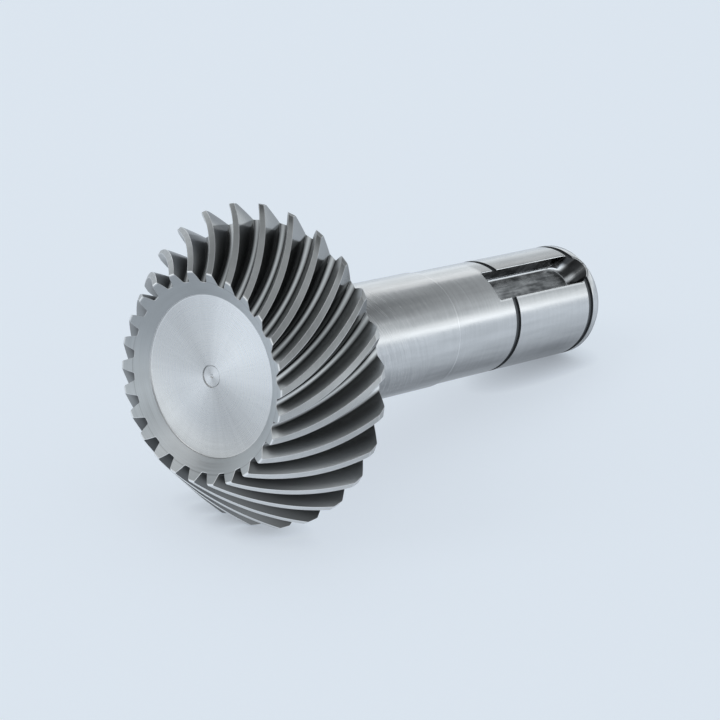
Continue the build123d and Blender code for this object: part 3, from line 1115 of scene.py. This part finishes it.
sharp = bmesh.new()
sharp.from_mesh(sharp_mesh)
finish_of = sharp.faces.layers.int["finish"]
break_share = sharp.edges.layers.float.new("bevel_weight_edge")
for edge in sharp.edges:
    if edge.calc_face_angle(0.0) < SHARP_ANGLE:
        continue
    kinds = {face[finish_of] for face in edge.link_faces}
    middle = (edge.verts[0].co + edge.verts[1].co) / 2
    near_centre = hypot(middle.x, middle.y) < UNBROKEN_CENTRE * MILLIMETRE
    if near_centre or not kinds.isdisjoint((GROOVED, MILLED, KEYWAY_WALL_SHADE, KEYWAY_FOOT_HIGHLIGHT, SCOOP)):
        edge.smooth = False
    else:
        room = min(face.calc_area() for face in edge.link_faces) / edge.calc_length()
        edge[break_share] = min(1.0, EDGE_ROOM * room / (EDGE_BREAK * MILLIMETRE))
sharp.to_mesh(sharp_mesh)
sharp.free()
easing = pinion.modifiers.new("edges", "BEVEL")
easing.width = EDGE_BREAK * MILLIMETRE
easing.material = sharp_mesh.materials.find("edge_steel")
easing.segments = EDGE_STEPS
easing.limit_method = "WEIGHT"
easing.harden_normals = True
easing.use_clamp_overlap = False
plain_mesh().transform(lie)
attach(pinion, "root")
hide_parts("pinion_shaft")

# The floor: plain pale board, partly lit from inside like a light table. It glows less
# where the part lies close over it, which gives the soft shade at its foot.
FLOOR_HALF = 3.0
FLOOR_COLOUR = (0.40, 0.436, 0.469, 1)
FLOOR_ROUGHNESS = 0.9
FLOOR_GLOSS = 0.1
FLOOR_GLOW = (0.770, 0.833, 0.912, 1)
FLOOR_GLOW_HIDDEN = (0.36, 0.39, 0.43, 1)
FLOOR_GLOW_STRENGTH = 0.66
CONTACT_REACH = 0.0045
CONTACT_SAMPLES = 12

floor_corners = [(x * FLOOR_HALF, y * FLOOR_HALF, 0) for x, y in ((-1, -1), (1, -1), (1, 1), (-1, 1))]
floor_mesh = bpy.data.meshes.new("floor")
floor_mesh.from_pydata(floor_corners, [], [(0, 1, 2, 3)])
floor = bpy.data.objects.new("floor", floor_mesh)
bpy.context.scene.collection.objects.link(floor)
board = bpy.data.materials.new("pale_floor")
board.use_nodes = True
board.node_tree.nodes.clear()
open_share = Wire.node(
    board.node_tree,
    "ShaderNodeAmbientOcclusion",
    {"samples": CONTACT_SAMPLES},
    {"Distance": CONTACT_REACH},
    output="AO",
)
glow = Wire.node(
    board.node_tree,
    "ShaderNodeMix",
    {"data_type": "RGBA"},
    {0: open_share, 6: FLOOR_GLOW_HIDDEN, 7: FLOOR_GLOW},
    output=2,
)
board_surface = Wire.node(
    board.node_tree,
    "ShaderNodeBsdfPrincipled",
    {},
    {
        "Base Color": FLOOR_COLOUR,
        "Roughness": FLOOR_ROUGHNESS,
        "Specular IOR Level": FLOOR_GLOSS,
        "Emission Color": glow,
        "Emission Strength": FLOOR_GLOW_STRENGTH,
    },
)
Wire.node(board.node_tree, "ShaderNodeOutputMaterial", {}, {"Surface": board_surface}, output=None)
floor_mesh.materials.append(board)

# The room and its lamps: bright round the horizon, where the backdrop stands, and dim
# above it, with a large softbox high over the toe and two small ones past the shaft's end.
HORIZON_LIGHT = 1.36
LIGHT_LOST_UPWARD = 2.08
CEILING_LIGHT = 0.27
OVERHEAD_LIGHT = 0.3
OVERHEAD_RISE = (0.55, 0.95)
ROOM_TINT = (0.90, 0.96, 1.0, 1)
# name, azimuth and elevation in degrees, then distance, width and height in metres, and watts
SOFTBOXES = (
    ("key", 150, 50, 1.2, 0.6, 0.6, 1.0),
    ("far_side", 28, 21, 1.3, 0.40, 0.22, 0.18),
    ("near_side", -38, 5, 1.3, 0.30, 0.28, 0.12),
)

world = bpy.data.worlds.new("room")
world.use_nodes = True
room = world.node_tree
room.nodes.clear()
looking = Wire.node(room, "ShaderNodeTexCoord", output="Generated")
height = Wire.node(room, "ShaderNodeSeparateXYZ", {}, {0: looking}, output="Z")
strength = (HORIZON_LIGHT - height * LIGHT_LOST_UPWARD).held(CEILING_LIGHT, HORIZON_LIGHT)
strength = strength + height.rise(*OVERHEAD_RISE) * OVERHEAD_LIGHT
backdrop = Wire.node(room, "ShaderNodeBackground", {}, {"Color": ROOM_TINT, "Strength": strength})
Wire.node(room, "ShaderNodeOutputWorld", {}, {"Surface": backdrop}, output=None)
bpy.context.scene.world = world

for name, azimuth, elevation, distance, width, height, watts in SOFTBOXES:
    data = bpy.data.lights.new(name, "AREA")
    data.shape = "RECTANGLE"
    data.size, data.size_y, data.energy = width, height, watts
    lamp = bpy.data.objects.new(name, data)
    bpy.context.scene.collection.objects.link(lamp)
    turn, lift = radians(azimuth), radians(elevation)
    towards = Vector((cos(lift) * cos(turn), cos(lift) * sin(turn), sin(lift)))
    lamp.location = towards * distance
    lamp.rotation_euler = towards.to_track_quat("Z", "Y").to_euler()

# The camera stands where the photograph was taken from, half a metre from the part,
# above the toe, with a long lens. It was placed by fitting the part's own edges.
CAMERA_PLACE = Vector((-0.355351, -0.304096, 0.23901))
CAMERA_RIGHT = Vector((0.65154, -0.758407, -0.017724))
CAMERA_UP = Vector((0.338374, 0.269625, 0.901557))
CAMERA_LENS = 152.464
CAMERA_SENSOR = 36.0
CAMERA_NEAREST = 0.05

camera_data = bpy.data.cameras.new("camera")
camera_data.lens = CAMERA_LENS
camera_data.sensor_width = CAMERA_SENSOR
camera_data.clip_start = CAMERA_NEAREST
camera = bpy.data.objects.new("camera", camera_data)
bpy.context.scene.collection.objects.link(camera)
view = Matrix((CAMERA_RIGHT, CAMERA_UP, CAMERA_RIGHT.cross(CAMERA_UP))).transposed().to_4x4()
view.translation = CAMERA_PLACE
camera.matrix_world = view
bpy.context.scene.camera = camera
bpy.context.scene.view_settings.view_transform = "Standard"
